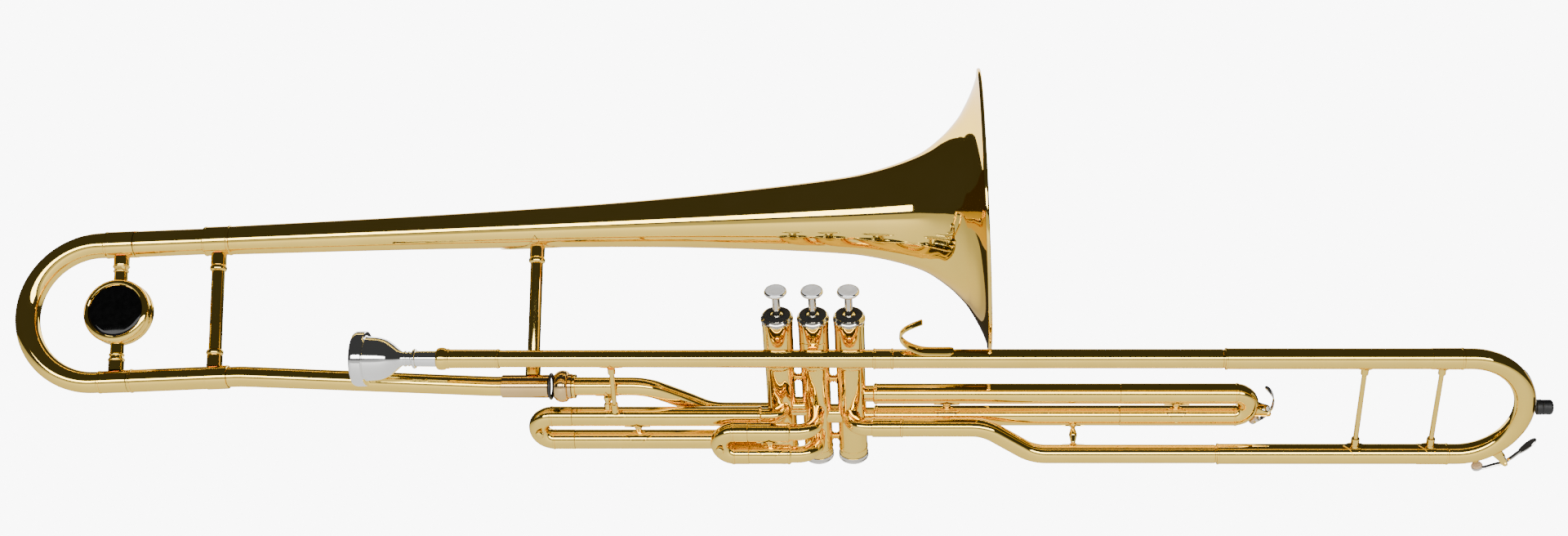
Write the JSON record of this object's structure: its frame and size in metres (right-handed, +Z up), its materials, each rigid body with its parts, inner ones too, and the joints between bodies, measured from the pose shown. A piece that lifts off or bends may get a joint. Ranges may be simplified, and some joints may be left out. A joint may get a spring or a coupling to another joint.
{
  "type": "valve trombone",
  "caption": "Tenor trombone with piston valves: flared bell section on a swivel joint, valve slides, front tuning slide, mouthpiece, water keys and a counterweight.",
  "frame": {"origin": "on the second valve's axis at mid-casing, where the left hand holds the instrument", "axes": "+X along the leadpipe from the mouthpiece to the front bow, +Z up through the bell section, -Y towards the player's left, the front of the instrument"},
  "size_m": [1.0879, 0.2032, 0.2902],
  "materials": {
    "brass": "polished and lacquered",
    "red_brass": "polished and lacquered, a little redder",
    "silver": "silver plate, mirror polished",
    "nickel": "nickel plate, polished",
    "felt": "dense black wool felt",
    "spring_steel": "plain spring wire",
    "cork": "natural cork",
    "rubber": "black, satin",
    "black_gloss": "domed black enamel",
    "pearl": "white mother-of-pearl inlay"
  },
  "bodies": {
    "body": {"exit_tube": "brass", "lock_washer": "rubber", "mouthpiece_receiver": "brass", "leadpipe": "brass", "return_tube": "brass", "finger_hook": "brass", "knuckle_12": "brass", "knuckle_23": "brass", "leadpipe_brace": "brass", "slide_brace": "brass", "casing_1": "brass", "bottom_cap_1": "nickel", "top_cap_1": "nickel", "cap_felt_1": "felt", "spring_1": "spring_steel", "casing_2": "brass", "bottom_cap_2": "nickel", "top_cap_2": "nickel", "cap_felt_2": "felt", "spring_2": "spring_steel", "casing_3": "brass", "bottom_cap_3": "nickel", "top_cap_3": "nickel", "cap_felt_3": "felt", "spring_3": "spring_steel", "first_slide_upper_tube": "brass", "first_slide_lower_tube": "brass", "second_slide_upper_tube": "brass", "second_slide_lower_tube": "brass", "third_slide_upper_tube": "brass", "third_slide_lower_tube": "brass"},
    "bell_section": {"bell": "brass", "upper_sleeve": "brass", "lower_sleeve": "brass", "neckpipe": "brass", "neck_receiver": "red_brass", "bell_brace": "brass", "rear_brace": "brass"},
    "bell_tuning_slide": {"tuning_crook": "brass", "counterweight": "brass", "counterweight_disc": "black_gloss"},
    "lock_nut": {"lock_nut": "red_brass"},
    "mouthpiece": {"mouthpiece": "silver"},
    "valve_1": {"piston_1": "nickel", "button_1": "silver"},
    "valve_2": {"piston_2": "nickel", "button_2": "silver"},
    "valve_3": {"piston_3": "nickel", "button_3": "silver"},
    "first_valve_slide": {"first_slide": "brass"},
    "second_valve_slide": {"second_slide": "brass"},
    "third_valve_slide": {"third_slide": "brass"},
    "front_tuning_slide": {"front_slide": "brass", "front_slide_brace_1": "brass", "front_slide_brace_2": "brass", "bumper": "rubber"},
    "front_key": {"front_water_key": "nickel", "front_water_key_cork": "cork"},
    "third_key": {"third_water_key": "nickel", "third_water_key_cork": "cork"}
  },
  "joints": [
    {"name": "valve_1_press", "type": "slide", "parent": "body", "child": "valve_1", "axis": [0, 0.5736, -0.8192], "range_m": [0, 0.016], "stiffness_N_per_m": 150, "springref_m": -0.012, "deforming": ["spring_1"]},
    {"name": "valve_2_press", "type": "slide", "parent": "body", "child": "valve_2", "axis": [0, 0.5736, -0.8192], "range_m": [0, 0.016], "stiffness_N_per_m": 150, "springref_m": -0.012, "deforming": ["spring_2"]},
    {"name": "valve_3_press", "type": "slide", "parent": "body", "child": "valve_3", "axis": [0, 0.5736, -0.8192], "range_m": [0, 0.016], "stiffness_N_per_m": 150, "springref_m": -0.012, "deforming": ["spring_3"]},
    {"name": "first_slide_pull", "type": "slide", "parent": "body", "child": "first_valve_slide", "axis": [-1, 0, 0], "range_m": [0, 0.03]},
    {"name": "second_slide_pull", "type": "slide", "parent": "body", "child": "second_valve_slide", "axis": [-1, 0, 0], "range_m": [0, 0.015]},
    {"name": "third_slide_pull", "type": "slide", "parent": "body", "child": "third_valve_slide", "axis": [1, 0, 0], "range_m": [0, 0.06]},
    {"name": "front_slide_pull", "type": "slide", "parent": "body", "child": "front_tuning_slide", "axis": [1, 0, 0], "range_m": [0, 0.06]},
    {"name": "crook_pull", "type": "slide", "parent": "bell_section", "child": "bell_tuning_slide", "axis": [-0.9991, -0.0101, -0.0406], "range_m": [0, 0.035]},
    {"name": "bell_swivel", "type": "hinge", "parent": "body", "child": "bell_section", "pos_m": [-0.1995, -0.01845, 0.00368], "axis": [1, 0, 0], "range_deg": [-40, 0]},
    {"name": "lock_nut_turn", "type": "hinge", "parent": "body", "child": "lock_nut", "pos_m": [-0.1776, -0.01845, 0.00368], "axis": [1, 0, 0], "range_deg": [-180, 0]},
    {"name": "mouthpiece_pull", "type": "slide", "parent": "body", "child": "mouthpiece", "axis": [-1, 0, 0], "range_m": [0, 0.02]},
    {"name": "front_key_press", "type": "hinge", "parent": "front_tuning_slide", "child": "front_key", "pos_m": [0.4946, 0.00899, -0.0512], "axis": [0, -0.8192, -0.5736], "range_deg": [0, 12], "stiffness_Nm_per_rad": 0.05, "springref_deg": -22.92},
    {"name": "third_key_press", "type": "hinge", "parent": "third_valve_slide", "child": "third_key", "pos_m": [0.3247, 0.0109, -0.01556], "axis": [0, -0.8192, -0.5736], "range_deg": [0, 12], "stiffness_Nm_per_rad": 0.05, "springref_deg": -22.92}
  ]
}
